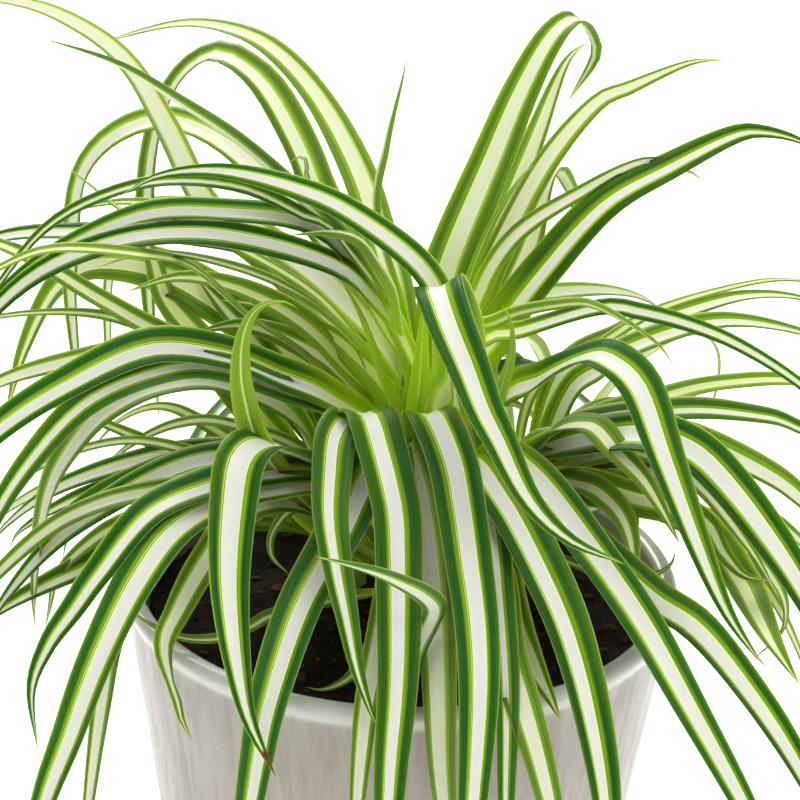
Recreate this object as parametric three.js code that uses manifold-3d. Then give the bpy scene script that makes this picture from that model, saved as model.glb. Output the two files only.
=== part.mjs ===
// A potted spider plant: four crowns of long arching leaves growing from the soil of a tapered, glazed pot.
// Millimetres, +Z up. The origin is the centre of the pot's flat base, and the front is -Y.
import * as THREE from "three";
import { mergeVertices } from "three/addons/utils/BufferGeometryUtils.js";
import Module from "manifold-3d";

const wasm = await Module();
wasm.setup();

const gap = 0.3; // clearance between pieces that touch
const sliver = 0.05; // edges shorter than this are merged away after a join

const pot = {
  height: 150,
  rimRadius: 85,
  baseRadius: 64.6,
  wall: 6,
  floor: 8,
  lipRound: 2.4,
  footRound: 2.5,
  sides: 56,
};

const soil = {
  level: 136,
  lumpHeight: 1.6,
  rings: 6,
  sides: 40,
};

// Each crown is a short rootstock in its own hole in the soil. It swells above the soil into the neck of
// clasped leaf bases, from which the blades fan out.
const neck = {
  radius: 7.5, // in the soil
  bottom: 112,
  soilTop: 144,
  swellRadius: 14,
  swellTop: 170,
  top: 186,
  sides: 12,
  leafRing: 4, // how far from the neck's middle a leaf starts, towards where it heads
  leafStart: 150,
};

const crowns = {
  back: { x: 6, y: 40 },
  left: { x: -18, y: 16 },
  right: { x: 32, y: 14 },
  front: { x: 6, y: -11 },
};

const blade = {
  thickness: 1.2,
  stationEvery: 25,
  fewestStations: 5,
  baseShare: 0.27, // width at the root, as a share of the full width
  widening: 0.3, // share of the length over which the blade widens
  taper: 3.2, // how late the blade narrows towards its tip
  fold: 14, // degrees that each half rises from the midrib
  rootFold: 40, // extra fold where the blade clasps its crown
  tipFold: 10,
  lean: 18, // degrees that a leaf heading sideways turns its face to the front
};

// The leaves that face the front are drawn as they are seen from one viewpoint above and before the pot.
// A point is [across, down, y]: where it lies on a picture 800 units wide and high, and its depth in mm.
const viewpoint = {
  eye: new THREE.Vector3(-1.9, -635.8, 487.9),
  pitch: THREE.MathUtils.degToRad(23.87),
  roll: THREE.MathUtils.degToRad(2.02),
  focal: 2339,
  middle: 400,
};

// One row for each leaf: its width in mm, the points it runs through after its root and, where it has one,
// its own turn in degrees, in even steps from root to tip.
const drawnLeaves = {
  back: [
    [12.5, [
      [400, 380, 36], [330, 290, 38], [255, 235, 40], [205, 207, 42], [165, 130, 46], [130, 70, 50],
      [90, 34, 54], [30, 6, 58], [-40, 0, 60], [-100, 16, 62],
    ], [15, 15]],
    [14, [
      [400, 330, 50], [375, 230, 72], [355, 170, 88], [320, 105, 106], [280, 58, 120], [240, 34, 130],
      [185, 25, 138], [120, 38, 144], [88, 52, 146],
    ]],
    [15, [
      [385, 340, 48], [320, 200, 68], [300, 150, 76], [268, 92, 88], [238, 64, 96], [212, 56, 101],
      [180, 80, 106], [158, 130, 110], [148, 200, 113], [150, 300, 115], [160, 425, 114],
    ], [0, 0, 0, 75, 80]],
    [14, [
      [390, 350, 45], [320, 235, 52], [262, 178, 58], [215, 140, 64], [165, 122, 70], [118, 136, 75],
      [86, 170, 80], [75, 220, 83], [72, 290, 85], [78, 370, 85], [84, 440, 83],
    ], [0, 0, 0, 60, 75]],
    [14, [
      [360, 350, 40], [280, 265, 45], [200, 240, 50], [80, 235, 60], [0, 240, 68], [-80, 270, 74],
      [-130, 310, 76],
    ]],
    [10, [[340, 320, 50], [240, 230, 62], [150, 205, 74], [90, 207, 82], [50, 225, 86]]],
    [9, [[400, 350, 40], [350, 240, 44], [309, 185, 46], [306, 163, 47], [300, 157, 48], [281, 168, 50]]],
    [8, [[405, 340, 30], [375, 215, 25], [385, 145, 22], [403, 75, 20], [406, 52, 19]]],
    [16, [
      [370, 370, 60], [250, 240, 100], [150, 215, 130], [116, 260, 140], [110, 340, 142],
      [115, 430, 140],
    ], [0, 70]],
    [12, [[400, 390, 36], [360, 310, 52], [330, 265, 62], [300, 240, 70]]],
    [17, [
      [440, 340, 42], [445, 280, 48], [460, 235, 52], [490, 165, 62], [520, 95, 70], [550, 40, 76],
      [575, 20, 84], [592, 40, 92], [593, 60, 94], [567, 103, 98],
    ], [-25, -25, -25, -15, 40]],
    [14, [[460, 350, 50], [480, 290, 62], [500, 230, 74], [535, 140, 92], [565, 65, 108], [590, 40, 118]]],
    [12, [
      [490, 340, 60], [530, 250, 84], [548, 190, 96], [558, 172, 101], [570, 188, 107],
      [576, 210, 111], [562, 255, 114],
    ], [-20, -20, -10, 40, 60]],
  ],
  left: [
    [13, [
      [412, 400, 14], [380, 320, 13], [345, 250, 10], [300, 200, 4], [240, 145, -4], [180, 104, -12],
      [120, 66, -20], [60, 44, -26], [38, 39, -28],
    ], [-25, -45]],
    [5, [
      [375, 405, 22], [330, 310, 24], [230, 245, 27], [160, 222, 30], [125, 213, 30], [90, 185, 30],
      [56, 159, 30],
    ]],
    [7, [
      [400, 360, 10], [340, 240, 6], [300, 215, 3], [240, 188, -1], [165, 182, -6], [100, 198, -11],
      [45, 230, -15], [0, 284, -18], [-30, 330, -20], [-50, 390, -21],
    ], [10, 25]],
    [12, [
      [405, 400, 15], [390, 330, 12], [340, 250, 8], [300, 223, 5], [230, 214, 1], [150, 215, -5],
      [75, 244, -10], [20, 280, -14], [-40, 340, -18], [-80, 410, -20],
    ], [5, 20]],
    [12.5, [
      [412, 410, 10], [400, 340, 6], [370, 300, 3], [340, 272, 0], [280, 250, -4], [200, 236, -9],
      [120, 243, -14], [40, 275, -19], [-20, 330, -23], [-70, 410, -26], [-90, 470, -27],
    ], [5, 20]],
    [8, [
      [330, 390, 20], [245, 315, 14], [190, 268, 0], [140, 256, -20], [60, 250, -29], [10, 264, -33],
      [-50, 302, -37], [-90, 352, -39],
    ]],
    [12, [
      [412, 390, 14], [402, 330, 8], [395, 290, 4], [378, 262, 1], [360, 240, -2], [330, 232, -5],
      [290, 235, -9],
    ]],
    [12, [
      [350, 420, 30], [270, 370, 34], [175, 342, 40], [100, 302, 48], [20, 255, 58], [-60, 230, 66],
      [-120, 235, 72],
    ]],
    [13, [[400, 410, 16], [345, 335, 10], [285, 290, 5], [215, 264, 0], [150, 254, -4], [95, 268, -8]]],
    [13, [[390, 430, 24], [335, 355, 24], [290, 315, 24], [235, 288, 24], [180, 278, 24], [125, 292, 24]]],
    [6, [
      [300, 400, 34], [230, 360, 38], [165, 337, 44], [100, 316, 50], [20, 315, 58], [-50, 330, 62],
      [-100, 360, 64],
    ]],
    [15, [
      [320, 500, 28], [290, 460, 34], [240, 400, 46], [200, 345, 58], [165, 300, 70], [150, 255, 82],
      [130, 215, 95],
    ]],
    [15, [[345, 490, 28], [330, 450, 34], [290, 400, 42], [255, 345, 52], [225, 310, 62], [195, 275, 75]]],
    [16, [
      [388, 450, 10], [330, 400, 0], [280, 378, -6], [225, 357, -12], [150, 350, -20], [70, 385, -30],
      [0, 430, -38], [-60, 490, -44], [-100, 560, -47], [-120, 620, -48],
    ], [5, 10]],
    [13, [
      [380, 465, 8], [330, 412, -2], [280, 392, -10], [225, 372, -16], [170, 371, -22], [90, 403, -34],
      [30, 465, -42], [-10, 530, -46], [-40, 610, -49], [-55, 680, -50],
    ], [5, 10]],
    [12, [
      [300, 420, 30], [200, 365, 30], [140, 352, 30], [80, 362, 30], [0, 385, 32], [-70, 430, 34],
      [-120, 490, 35],
    ]],
    [18, [
      [330, 400, 50], [200, 290, 72], [110, 262, 92], [60, 285, 103], [25, 350, 106], [5, 420, 107],
    ], [0, 70]],
    [18, [
      [300, 430, 6], [225, 386, 0], [160, 387, -6], [108, 412, -12], [76, 446, -16], [53, 487, -18],
      [41, 540, -19], [35, 600, -20], [36, 632, -20],
    ]],
    [7, [[310, 460, 20], [230, 426, 22], [180, 425, 24], [130, 447, 28], [95, 480, 30], [88, 497, 31]]],
    [6, [[290, 490, 15], [200, 456, 12], [130, 442, 10], [60, 458, 6], [10, 490, 2], [-20, 520, 0]]],
    [7, [[280, 500, 22], [195, 467, 24], [140, 440, 26], [70, 412, 30], [20, 395, 34]]],
    [7, [[300, 490, 30], [215, 432, 34], [165, 408, 38], [122, 420, 42], [90, 450, 44]]],
    [10, [
      [300, 500, 2], [230, 488, -8], [158, 493, -18], [100, 506, -25], [50, 531, -31], [0, 574, -36],
      [-40, 620, -40], [-60, 680, -42],
    ]],
    [15, [[290, 530, 5], [190, 520, -5], [110, 558, -12], [40, 590, -18], [0, 612, -22], [-40, 640, -26]]],
    [11, [
      [280, 520, 5], [190, 505, 0], [125, 525, -6], [90, 545, -10], [60, 575, -13], [50, 610, -15],
      [45, 630, -16],
    ]],
    [12, [[395, 420, 16], [350, 350, 24], [300, 320, 30], [260, 305, 36], [220, 300, 42]]],
    [12, [[375, 430, 26], [340, 372, 30], [290, 340, 36], [240, 326, 42], [190, 334, 46]]],
    [11, [[398, 430, 8], [386, 375, 7], [364, 318, 6], [340, 278, 8]]],
  ],
  right: [
    [17, [
      [500, 416, 0], [540, 383, -10], [588, 359, -24], [613, 364, -32], [640, 391, -42],
      [665, 460, -56], [695, 540, -68], [725, 610, -78], [755, 655, -83], [768, 668, -85],
    ], [-60, -45, -15, -10, -10]],
    [12, [[565, 405, 20], [600, 370, 20], [640, 345, 22], [720, 323, 26], [800, 333, 30], [850, 355, 32]]],
    [12, [[480, 370, 35], [500, 305, 50], [550, 295, 60], [600, 292, 70], [640, 298, 78], [670, 315, 84]]],
    [5, [[530, 400, 30], [595, 350, 40], [660, 310, 50], [750, 284, 62], [800, 281, 70], [840, 290, 74]]],
    [10, [[560, 380, 45], [620, 335, 58], [670, 318, 66], [740, 298, 78], [800, 299, 88], [850, 320, 94]]],
    [7.5, [
      [470, 370, 8], [490, 338, 6], [520, 332, 4], [600, 309, 0], [640, 313, -3], [690, 326, -8],
      [740, 347, -13], [800, 385, -18], [860, 440, -22], [890, 490, -24],
    ], [-15, -25]],
    [6, [
      [468, 360, 6], [500, 320, -2], [565, 304, -14], [600, 308, -18], [655, 342, -26],
      [678, 373, -30],
    ]],
    [6, [[490, 430, -2], [498, 400, -5], [510, 360, -8], [512, 335, -9], [508, 315, -10], [501, 304, -10]]],
    [4, [[600, 400, 60], [660, 345, 80], [700, 335, 92], [718, 355, 96], [713, 400, 97], [690, 435, 98]]],
    [10, [[560, 440, 25], [670, 397, 40], [735, 384, 50], [800, 384, 60], [870, 410, 68], [910, 440, 72]]],
    [12, [[560, 440, 10], [670, 413, 10], [760, 418, 10], [800, 431, 10], [870, 465, 10], [910, 505, 10]]],
    [14, [
      [560, 450, 0], [640, 435, -3], [690, 440, -5], [760, 472, -10], [800, 500, -13], [860, 560, -17],
      [890, 620, -18],
    ], [-5, -10]],
    [19, [
      [495, 490, 4], [520, 466, 2], [560, 449, -3], [610, 439, -9], [650, 438, -16], [690, 453, -22],
      [720, 480, -27], [760, 530, -34], [800, 590, -40], [840, 670, -44], [860, 740, -46],
    ], [-5, -15]],
    [13, [[525, 455, 5], [590, 446, 2], [640, 455, -4], [690, 480, -10], [745, 545, -18], [780, 600, -22]]],
    [12, [[560, 492, 12], [640, 488, 12], [700, 520, 14], [740, 570, 16]]],
    [12, [[545, 475, 20], [620, 461, 28], [680, 470, 34], [730, 500, 40]]],
    [16, [
      [540, 450, 0], [585, 428, -8], [615, 455, -18], [640, 480, -24], [660, 510, -28],
      [680, 545, -31],
    ]],
    [15, [
      [530, 490, 8], [580, 487, -10], [608, 503, -18], [624, 525, -22], [632, 556, -25],
      [635, 592, -28],
    ]],
    [5, [
      [560, 560, -5], [600, 575, -12], [640, 577, -15], [660, 573, -14], [672, 563, -12],
      [676, 548, -10],
    ]],
    [13, [
      [560, 490, 0], [640, 500, -8], [702, 520, -14], [723, 552, -20], [744, 575, -24],
      [770, 581, -27],
    ], [0, -20, -50, -60, -40]],
    [18, [
      [600, 500, 10], [665, 512, 0], [708, 540, -9], [738, 583, -20], [752, 610, -35], [768, 640, -52],
      [785, 665, -66], [800, 685, -76],
    ]],
    [12, [[620, 500, 22], [720, 530, 18], [775, 585, 14], [782, 628, 12], [750, 662, 10]]],
    [7, [[450, 350, 30], [468, 280, 32], [490, 225, 36], [520, 178, 40], [537, 163, 42]]],
    [10.5, [
      [455, 370, 30], [480, 300, 34], [500, 250, 38], [545, 165, 46], [595, 105, 54], [630, 88, 58],
      [690, 63, 64], [730, 60, 68],
    ]],
    [7.5, [
      [470, 350, 25], [480, 290, 27], [515, 235, 30], [575, 195, 36], [645, 161, 42], [692, 173, 48],
      [705, 185, 50],
    ]],
    [15, [
      [465, 400, 20], [500, 330, 24], [545, 270, 28], [605, 205, 34], [670, 168, 42], [730, 138, 50],
      [760, 133, 54], [800, 142, 58], [840, 165, 60],
    ], [-15, -15]],
  ],
  front: [
    [13, [
      [452, 420, -5], [446, 330, -9], [420, 270, -11], [350, 215, -13], [290, 188, -15],
      [220, 172, -17], [160, 176, -19], [120, 196, -21],
    ], [10, 30]],
    [11, [
      [310, 510, -26], [260, 450, -38], [243, 400, -44], [239, 360, -46], [245, 325, -47],
      [260, 305, -48], [284, 301, -50], [300, 310, -51],
    ], [50, 80, 90, 80]],
    [15, [
      [370, 490, -14], [312, 474, -28], [265, 476, -38], [212, 487, -48], [150, 515, -60],
      [100, 575, -72], [75, 610, -77], [50, 645, -80], [33, 690, -82], [38, 752, -83],
    ]],
    [16, [
      [350, 500, -30], [260, 495, -45], [185, 525, -62], [140, 580, -76], [100, 660, -88],
      [70, 740, -94], [47, 800, -98], [26, 880, -100], [12, 980, -102],
    ]],
    [12, [
      [310, 505, -22], [200, 512, -42], [140, 570, -54], [115, 640, -58], [105, 700, -62],
      [95, 770, -65], [86, 840, -67], [80, 900, -68],
    ]],
    [13, [
      [315, 515, -26], [250, 510, -46], [208, 560, -55], [175, 615, -68], [165, 645, -72],
      [172, 680, -76], [178, 700, -78], [182, 720, -79], [193, 742, -80],
    ], [0, 0, 0, 0, 0, 0, 30, -30, 50]],
    [6, [
      [340, 600, -30], [275, 615, -42], [250, 628, -46], [215, 640, -51], [175, 637, -53],
      [140, 618, -48], [128, 605, -44],
    ]],
    [18.5, [
      [380, 490, -8], [320, 466, -22], [280, 450, -40], [258, 448, -52], [242, 464, -61],
      [236, 500, -68], [232, 550, -78], [232, 600, -88], [238, 660, -97], [250, 720, -104],
      [276, 777, -110],
    ]],
    [14, [
      [366, 468, -14], [352, 424, -24], [336, 438, -36], [331, 480, -50], [330, 520, -64],
      [337, 570, -76], [347, 620, -87], [357, 670, -95], [370, 710, -100], [380, 733, -102],
    ]],
    [16, [
      [415, 470, -10], [400, 438, -20], [375, 460, -34], [340, 535, -56], [300, 610, -74],
      [270, 700, -94], [258, 760, -100], [248, 820, -104], [238, 890, -106], [228, 970, -107],
    ]],
    [16, [
      [385, 480, -10], [362, 422, -22], [370, 418, -30], [380, 450, -42], [390, 490, -52],
      [396, 530, -60], [397, 640, -86], [395, 700, -97], [390, 760, -104], [386, 830, -108],
      [381, 900, -110], [376, 980, -110],
    ]],
    [12.5, [
      [407, 480, -28], [404, 560, -48], [397, 640, -70], [390, 690, -81], [390, 716, -87],
      [399, 704, -91], [408, 675, -88], [420, 646, -82.5], [432, 624, -80], [436, 609, -84.5],
      [424, 596, -91], [400, 583, -98], [370, 571, -105], [314, 556, -115],
    ], [0, 0, 0, 0, 0, 0, 0, -15, -35, -35, -35]],
    [14, [
      [421, 460, -14], [413, 441, -20], [416, 468, -30], [424, 515, -44], [432, 580, -60],
      [436, 650, -80], [438, 700, -92], [440, 760, -98], [445, 820, -101], [449, 880, -103],
      [452, 940, -103],
    ], [0, 0, 20, 90, 165, 180, 180, 180, 180, 180, 180, 180]],
    [16, [
      [422, 470, -12], [428, 415, -26], [450, 460, -44], [460, 510, -58], [467, 560, -70],
      [475, 620, -84], [478, 680, -98], [476, 740, -106], [472, 800, -112], [466, 880, -116],
      [458, 970, -117],
    ]],
    [10, [
      [460, 490, -12], [478, 460, -24], [493, 530, -46], [500, 600, -66], [505, 660, -82],
      [507, 720, -95], [506, 790, -102], [505, 860, -105], [502, 930, -106],
    ]],
    [10, [
      [405, 500, -22], [392, 580, -60], [380, 640, -78], [368, 700, -93], [362, 750, -100],
      [356, 820, -104], [350, 900, -106],
    ]],
    [18, [
      [485, 530, -32], [497, 585, -48], [513, 630, -62], [533, 670, -74], [549, 698, -82],
      [561, 722, -88],
    ]],
    [13, [
      [485, 560, -40], [505, 650, -76], [520, 700, -90], [535, 750, -97], [548, 800, -101],
      [562, 860, -104], [576, 930, -105],
    ]],
    [16, [
      [450, 490, -10], [472, 460, -24], [500, 495, -38], [524, 535, -50], [560, 610, -74],
      [580, 670, -88], [594, 730, -97], [604, 790, -103], [610, 860, -107], [614, 960, -109],
    ]],
    [14, [
      [480, 480, -10], [500, 455, -18], [535, 480, -30], [590, 550, -52], [642, 625, -72],
      [690, 710, -88], [740, 800, -98], [780, 880, -103], [805, 960, -105],
    ]],
    [19.5, [
      [490, 500, -8], [550, 520, -22], [600, 560, -38], [648, 602, -52], [694, 632, -62],
      [740, 686, -71], [786, 752, -80], [828, 828, -86], [870, 910, -90],
    ]],
    [17, [
      [440, 420, -6], [458, 380, -6], [459, 335, -8], [448, 300, -14], [440, 289, -22],
      [452, 326, -38], [470, 370, -50], [485, 410, -60], [500, 440, -66], [530, 500, -78],
      [570, 540, -86], [627, 565, -92],
    ]],
    [6, [[340, 540, -22], [300, 510, -30], [275, 530, -35], [272, 555, -40], [290, 575, -42]]],
    [6, [[395, 620, -25], [370, 650, -45], [350, 678, -58], [325, 690, -64], [305, 687, -66]]],
    [11, [[416, 425, -4], [420, 360, -2], [424, 295, 2]]],
    [12, [[428, 430, -6], [438, 392, -2], [455, 350, 2]]],
  ],
};

// The other leaves fill the back and the underside of the plant, spread by the golden angle's fractions.
const fillers = [
  {
    crown: "back", count: 16, heading: [38, 142], reach: [95, 152], crest: [171, 195],
    drop: [60, 130], width: [11, 16],
  },
  {
    crown: "left", count: 6, heading: [150, 205], reach: [95, 130], crest: [165, 190],
    drop: [25, 55], width: [11, 15],
  },
  {
    crown: "right", count: 5, heading: [-4, 40], reach: [95, 130], crest: [168, 190],
    drop: [50, 90], width: [11, 15],
  },
];

const steps = { heading: 0.618034, length: 0.754878, lift: 0.569840 };

function share(index, step) {
  return (0.5 + index * step) % 1;
}

function between(range, t) {
  return range[0] + (range[1] - range[0]) * t;
}

function alongSteps(values, t) {
  const place = t * (values.length - 1);
  const i = Math.min(Math.floor(place), values.length - 2);
  return between([values[i], values[i + 1]], place - i);
}

function solidOf(geometry) {
  const bare = geometry.clone();
  bare.deleteAttribute("normal");
  bare.deleteAttribute("uv");
  const merged = mergeVertices(bare, 1e-4);
  return new wasm.Manifold(
    new wasm.Mesh({
      numProp: 3,
      vertProperties: new Float32Array(merged.attributes.position.array),
      triVerts: new Uint32Array(merged.index.array),
    }),
  );
}

function geometryOf(solid) {
  const mesh = solid.getMesh();
  return new THREE.BufferGeometry()
    .setAttribute("position", new THREE.BufferAttribute(mesh.vertProperties, 3))
    .setIndex(new THREE.BufferAttribute(mesh.triVerts, 1));
}

// Turns a profile of [radius, height] pairs about the Z axis.
function turned(profile, sides) {
  const points = profile.map(([r, z]) => new THREE.Vector2(r, z));
  return new THREE.LatheGeometry(points, sides).rotateX(Math.PI / 2);
}

function arcPoints(centreR, centreZ, radius, fromDegrees, toDegrees, count) {
  return Array.from({ length: count + 1 }, (_, i) => {
    const a = THREE.MathUtils.degToRad(fromDegrees + ((toDegrees - fromDegrees) * i) / count);
    return [centreR + radius * Math.cos(a), centreZ + radius * Math.sin(a)];
  });
}

function outerRadiusAt(z) {
  return pot.baseRadius + ((pot.rimRadius - pot.baseRadius) * z) / pot.height;
}

function makePot() {
  const lipZ = pot.height - pot.lipRound;
  const innerFloorR = outerRadiusAt(pot.floor) - pot.wall;
  const profile = [
    [0, 0],
    ...arcPoints(pot.baseRadius - pot.footRound, pot.footRound, pot.footRound, -90, -8, 3),
    ...arcPoints(pot.rimRadius - pot.lipRound, lipZ, pot.lipRound, 0, 90, 3),
    ...arcPoints(pot.rimRadius - pot.wall + pot.lipRound, lipZ, pot.lipRound, 90, 180, 3),
    [innerFloorR, pot.floor],
    [0, pot.floor],
  ];
  return turned(profile, pot.sides);
}

// The soil fills the pot up to its level. Its top is lumpy, and each rootstock stands in a hole.
function makeSoil() {
  const bottom = pot.floor + gap;
  const innerRadiusAt = (z) => outerRadiusAt(z) - pot.wall - 2 * gap;
  const profile = [
    [0, bottom],
    [innerRadiusAt(bottom), bottom],
  ];
  for (let i = 0; i <= soil.rings; i++) {
    const r = innerRadiusAt(soil.level) * (1 - i / soil.rings);
    profile.push([i === soil.rings ? 0 : r, soil.level]);
  }
  const geometry = turned(profile, soil.sides);
  const p = geometry.attributes.position;
  for (let i = 0; i < p.count; i++) {
    if (p.getZ(i) < soil.level - 1) continue;
    const [x, y] = [p.getX(i), p.getY(i)];
    const lumps = Math.sin(x * 0.31 + 1) * Math.cos(y * 0.27) + 0.6 * Math.sin(x * 0.12 - y * 0.19);
    p.setZ(i, soil.level + soil.lumpHeight * lumps);
  }
  const holes = Object.values(crowns).map((crown) => solidOf(crownHole(crown)));
  return geometryOf(solidOf(geometry).subtract(wasm.Manifold.union(holes)));
}

function crownHole(crown) {
  const r = neck.radius + gap * 1.2;
  const low = neck.bottom - gap;
  const profile = [[0, low], [r, low], [r, neck.top], [0, neck.top]];
  return turned(profile, neck.sides).translate(crown.x, crown.y, 0);
}

function crownNeck(crown) {
  const profile = [
    [0, neck.bottom],
    [neck.radius, neck.bottom],
    [neck.radius, neck.soilTop],
    [neck.swellRadius, neck.swellTop],
    [neck.swellRadius * 0.75, neck.top - 3],
    [0, neck.top],
  ];
  return turned(profile, neck.sides).translate(crown.x, crown.y, 0);
}

// The point in space, at depth y, that the viewpoint sees at a place on the picture.
function onSightLine([across, down, y]) {
  const { eye, pitch, roll, focal, middle } = viewpoint;
  const ray = new THREE.Vector3((across - middle) / focal, 0, (middle - down) / focal);
  ray.applyAxisAngle(new THREE.Vector3(0, -1, 0), roll);
  ray.y = 1;
  ray.applyAxisAngle(new THREE.Vector3(-1, 0, 0), pitch);
  return eye.clone().addScaledVector(ray, (y - eye.y) / ray.y);
}

// A leaf starts inside its crown's neck, on the side to which it heads.
function leafRoot(crown, path) {
  const middle = new THREE.Vector3(crown.x, crown.y, neck.leafStart);
  const ahead = path[2].clone().sub(middle).setZ(0).normalize();
  return middle.addScaledVector(ahead, neck.leafRing);
}

// A filler leaf rises from its crown, arches over at a crest and hangs to its tip.
function fillerPath(crown, group, index) {
  const heading = THREE.MathUtils.degToRad(between(group.heading, share(index, steps.heading)));
  const reach = between(group.reach, share(index, steps.length));
  const crest = between(group.crest, share(index, steps.lift));
  const drop = between(group.drop, share(index, steps.length + steps.lift));
  const at = (along, z) =>
    new THREE.Vector3(
      crown.x + reach * along * Math.cos(heading),
      crown.y + reach * along * Math.sin(heading),
      z,
    );
  return [
    at(0.14, neck.swellTop + 0.45 * (crest - neck.swellTop)),
    at(0.42, crest),
    at(0.75, crest - 0.3 * drop),
    at(0.95, crest - 0.72 * drop),
    at(1, crest - drop),
  ];
}

// Even steps along a smooth curve through the points.
function pathStations(points) {
  const curve = new THREE.CatmullRomCurve3(points, false, "catmullrom", 0.5);
  curve.arcLengthDivisions = 400;
  const count = Math.max(blade.fewestStations, Math.round(curve.getLength() / blade.stationEvery));
  return curve.getSpacedPoints(count);
}

// A blade is a ribbon with a shallow V across it. Its faces turn with the path from its root on, and by
// its lean and its own turn besides. Both faces are split into triangles alike.
function bladeSolid(points, width, turn) {
  const centres = pathStations(points);
  const n = centres.length - 1;
  const ahead = centres[Math.round(n * 0.6)].clone().sub(centres[0]).setZ(0).normalize();
  const level = new THREE.Vector3(ahead.y, -ahead.x, 0);
  const lean = blade.lean * level.y;
  const vertices = [];
  for (let i = 0; i < n; i++) {
    const t = i / n;
    const tangent = centres[i + 1].clone().sub(centres[Math.max(i - 1, 0)]).normalize();
    level.addScaledVector(tangent, -level.dot(tangent)).normalize();
    const angle = THREE.MathUtils.degToRad(lean + alongSteps(turn, t));
    const side = level.clone().applyAxisAngle(tangent, -angle);
    const up = side.clone().cross(tangent);
    const open = Math.min(1, t / blade.widening);
    const half = 0.5 * width * (blade.baseShare + (1 - blade.baseShare) * open) * (1 - t ** blade.taper);
    const fold = THREE.MathUtils.degToRad(blade.fold + blade.rootFold * (1 - open) + blade.tipFold * t);
    const edge = (sign) =>
      centres[i]
        .clone()
        .addScaledVector(side, sign * half * Math.cos(fold))
        .addScaledVector(up, half * Math.sin(fold));
    const middle = (height) => centres[i].clone().addScaledVector(up, height);
    vertices.push(edge(-1), middle(blade.thickness / 2), edge(1), middle(-blade.thickness / 2));
  }
  vertices.push(centres[n]);
  const triangles = [0, 3, 1, 1, 3, 2];
  const tip = 4 * n;
  for (let i = 0; i < n - 1; i++) {
    const [left, top, right, under] = [4 * i, 4 * i + 1, 4 * i + 2, 4 * i + 3];
    triangles.push(left, top, top + 4, left, top + 4, left + 4);
    triangles.push(left, under + 4, under, left, left + 4, under + 4);
    triangles.push(right, top + 4, top, right, right + 4, top + 4);
    triangles.push(right, under, under + 4, right, under + 4, right + 4);
  }
  const [left, top, right, under] = [tip - 4, tip - 3, tip - 2, tip - 1];
  triangles.push(left, top, tip, top, right, tip, right, under, tip, under, left, tip);
  return new wasm.Manifold(
    new wasm.Mesh({
      numProp: 3,
      vertProperties: new Float32Array(vertices.flatMap((v) => v.toArray())),
      triVerts: new Uint32Array(triangles),
    }),
  );
}

// The largest shell alone, so a small hollow sealed between leaf bases is filled.
function outerBody(solid) {
  return solid.decompose().reduce((a, b) => (b.volume() > a.volume() ? b : a));
}

// One crown: its rootstock and all its leaves, joined in one body.
function makeCrown(name) {
  const crown = crowns[name];
  const drawn = drawnLeaves[name].map(([width, path, turn = [0, 0]]) => ({
    width,
    path: path.map(onSightLine),
    turn,
  }));
  const filling = fillers
    .filter((group) => group.crown === name)
    .flatMap((group) =>
      Array.from({ length: group.count }, (_, i) => ({
        width: between(group.width, share(i, steps.lift)),
        path: fillerPath(crown, group, i),
        turn: [0, 0],
      })),
    );
  const leaves = [...drawn, ...filling].map(({ width, path, turn }) =>
    bladeSolid([leafRoot(crown, path), ...path], width, turn),
  );
  const joined = wasm.Manifold.union([solidOf(crownNeck(crown)), ...leaves]).simplify(sliver);
  return geometryOf(outerBody(joined));
}

const glaze = new THREE.MeshStandardMaterial({ color: 0xe6e2dc, roughness: 0.35 });
const pottingSoil = new THREE.MeshStandardMaterial({ color: 0x2c211a, roughness: 1 });
const leafGreen = new THREE.MeshStandardMaterial({ color: 0x6f9a4c, roughness: 0.45 });

function piece(name, geometry, material) {
  const mesh = new THREE.Mesh(geometry, material);
  mesh.name = name;
  return mesh;
}

const plant = new THREE.Group();
for (const name of Object.keys(crowns)) plant.add(piece("crown_" + name, makeCrown(name), leafGreen));

const group = new THREE.Group();
group.add(piece("pot", makePot(), glaze));
group.add(piece("soil", makeSoil(), pottingSoil));
group.add(plant);

export default group;
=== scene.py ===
import math

import bmesh
import bpy
from mathutils import Matrix, Vector, noise


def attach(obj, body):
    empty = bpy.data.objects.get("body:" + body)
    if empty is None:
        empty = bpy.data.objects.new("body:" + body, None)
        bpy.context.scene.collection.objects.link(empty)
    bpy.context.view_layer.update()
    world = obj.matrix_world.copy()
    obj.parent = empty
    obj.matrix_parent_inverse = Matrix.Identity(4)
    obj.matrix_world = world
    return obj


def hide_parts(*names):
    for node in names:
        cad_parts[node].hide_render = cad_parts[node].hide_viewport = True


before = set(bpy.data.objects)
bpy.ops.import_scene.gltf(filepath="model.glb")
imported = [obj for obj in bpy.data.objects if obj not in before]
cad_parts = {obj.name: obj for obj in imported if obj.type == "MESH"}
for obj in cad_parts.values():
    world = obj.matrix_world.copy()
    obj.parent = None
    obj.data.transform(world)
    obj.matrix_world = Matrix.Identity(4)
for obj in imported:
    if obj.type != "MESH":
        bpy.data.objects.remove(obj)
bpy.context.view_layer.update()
mm = 0.001
weld = 0.001  # points closer together than this, in mm, become one
noise.seed_set(3)  # so that the bark bits are chipped the same way each time

# Repeat by repeat, each of these steps spreads a value evenly over its range.
steps = {"heading": 0.618034, "length": 0.754878, "lift": 0.569840, "turn": 0.381966, "tilt": 0.2}


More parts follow.
